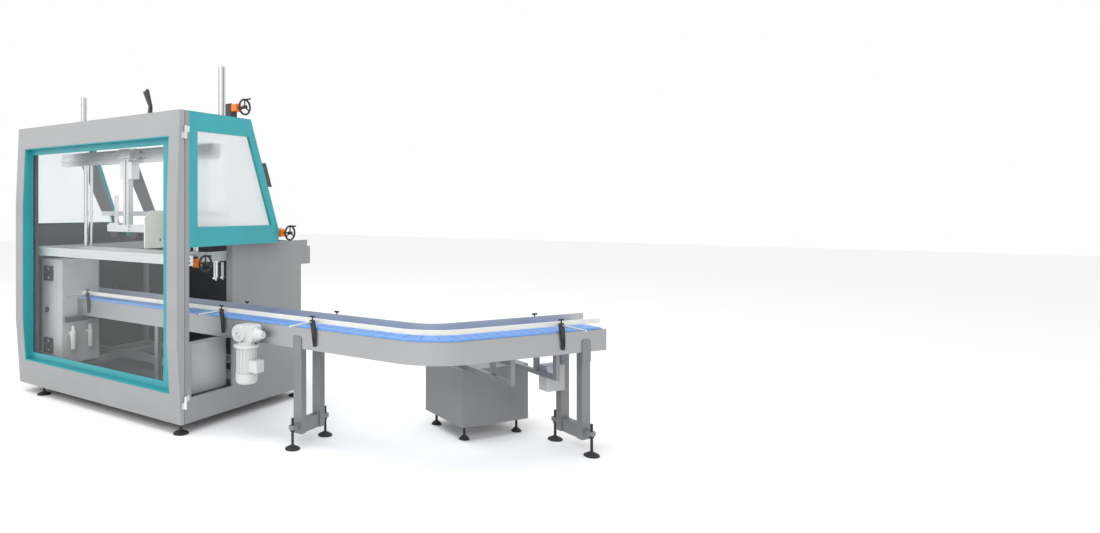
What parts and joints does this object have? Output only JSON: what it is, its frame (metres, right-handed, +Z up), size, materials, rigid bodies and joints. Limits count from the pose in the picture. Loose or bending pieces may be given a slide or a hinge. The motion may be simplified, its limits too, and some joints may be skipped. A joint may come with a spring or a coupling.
{
  "type": "case forming machine",
  "caption": "Carton case forming machine with a hinged glazed front, sloped frosted hood, forming mast and a curved plate chain discharge conveyor on H stands.",
  "frame": {"origin": "floor point under the centre of the front right levelling foot", "axes": "+X along the front towards the discharge conveyor, +Y from the front door towards the back, +Z up"},
  "size_m": [4.6097, 1.8111, 3.0208],
  "materials": {
    "teal_paint": "satin",
    "grey_door": "satin",
    "light_grey_paint": "satin",
    "cabinet_grey": "satin",
    "side_plate_steel": "brushed",
    "slotted_aluminium": "anodised",
    "polished_rod": "polished",
    "rail_cream": "matt",
    "rail_grey": "satin",
    "black_plastic": "matt",
    "orange_plastic": "gloss",
    "blue_chain": "satin",
    "air_unit_grey": "matt",
    "clear_pane": "clear",
    "frosted_pane": "frosted"
  },
  "bodies": {
    "machine": {"hood_frames": "teal_paint", "hood_rear_bar": "teal_paint", "frame_posts": "light_grey_paint", "base_frame": "light_grey_paint", "roof_panel": "light_grey_paint", "left_wall": "light_grey_paint", "rear_wall": "light_grey_paint", "valve_panel": "light_grey_paint", "floor_tray": "light_grey_paint", "mid_side_rails": "light_grey_paint", "mid_cross_beam": "light_grey_paint", "inner_covers": "light_grey_paint", "drive_motor": "light_grey_paint", "gearbox": "light_grey_paint", "electrical_box": "light_grey_paint", "right_cabinet": "cabinet_grey", "lower_right_wall": "cabinet_grey", "magazine_plates": "cabinet_grey", "floor_cabinet": "cabinet_grey", "cabinet_bearers": "cabinet_grey", "control_box": "cabinet_grey", "conveyor_stands": "cabinet_grey", "conveyor_rear_plate": "cabinet_grey", "conveyor_front_plate": "side_plate_steel", "conveyor_bed": "side_plate_steel", "lower_beam": "slotted_aluminium", "upper_beam": "slotted_aluminium", "roof_posts": "slotted_aluminium", "mast_carriage": "slotted_aluminium", "cross_bars": "slotted_aluminium", "guide_columns": "polished_rod", "guide_cross_rods": "polished_rod", "sloped_rod": "polished_rod", "hinge_pins": "polished_rod", "exit_cylinders": "polished_rod", "front_guide_rail": "rail_cream", "rear_guide_rail": "rail_grey", "guide_brackets": "black_plastic", "box_fans": "black_plastic", "rod_bracket": "black_plastic", "chain_wheels": "black_plastic", "levelling_feet": "black_plastic", "gear_housings": "black_plastic", "position_indicators": "orange_plastic", "plate_chain": "blue_chain", "air_units": "air_unit_grey", "hood_panes": "frosted_pane"},
    "front_door": {"door_stiles": "grey_door", "door_rails": "grey_door", "door_lining": "teal_paint", "door_pane": "clear_pane", "door_knuckles": "polished_rod"},
    "mast": {"forming_mast": "slotted_aluminium", "forming_head": "slotted_aluminium", "head_side_plate": "slotted_aluminium", "head_grippers": "black_plastic"},
    "roof_wheel": {"roof_handwheel": "black_plastic"},
    "rear_wheel": {"rear_handwheel": "black_plastic"},
    "side_wheel": {"side_handwheel": "black_plastic"},
    "switch_knob": {"main_switch": "black_plastic"}
  },
  "joints": [
    {"name": "door_swing", "type": "hinge", "parent": "machine", "child": "front_door", "pos_m": [0.077, -0.024, 0], "axis": [0, 0, 1], "range_deg": [0, 100]},
    {"name": "mast_stroke", "type": "slide", "parent": "machine", "child": "mast", "axis": [0, 0, 1], "range_m": [-0.12, 0]},
    {"name": "roof_wheel_turn", "type": "hinge", "parent": "machine", "child": "roof_wheel", "pos_m": [0, 0.566, 2.377], "axis": [1, 0, 0], "continuous": true},
    {"name": "rear_wheel_turn", "type": "hinge", "parent": "machine", "child": "rear_wheel", "pos_m": [0, 1.04, 1.395], "axis": [1, 0, 0], "continuous": true},
    {"name": "side_wheel_turn", "type": "hinge", "parent": "machine", "child": "side_wheel", "pos_m": [0, 0.202, 1.194], "axis": [1, 0, 0], "continuous": true},
    {"name": "switch_turn", "type": "hinge", "parent": "machine", "child": "switch_knob", "pos_m": [-1.92, 0.125, 0.703], "axis": [0, 1, 0], "range_deg": [0, 90]}
  ]
}
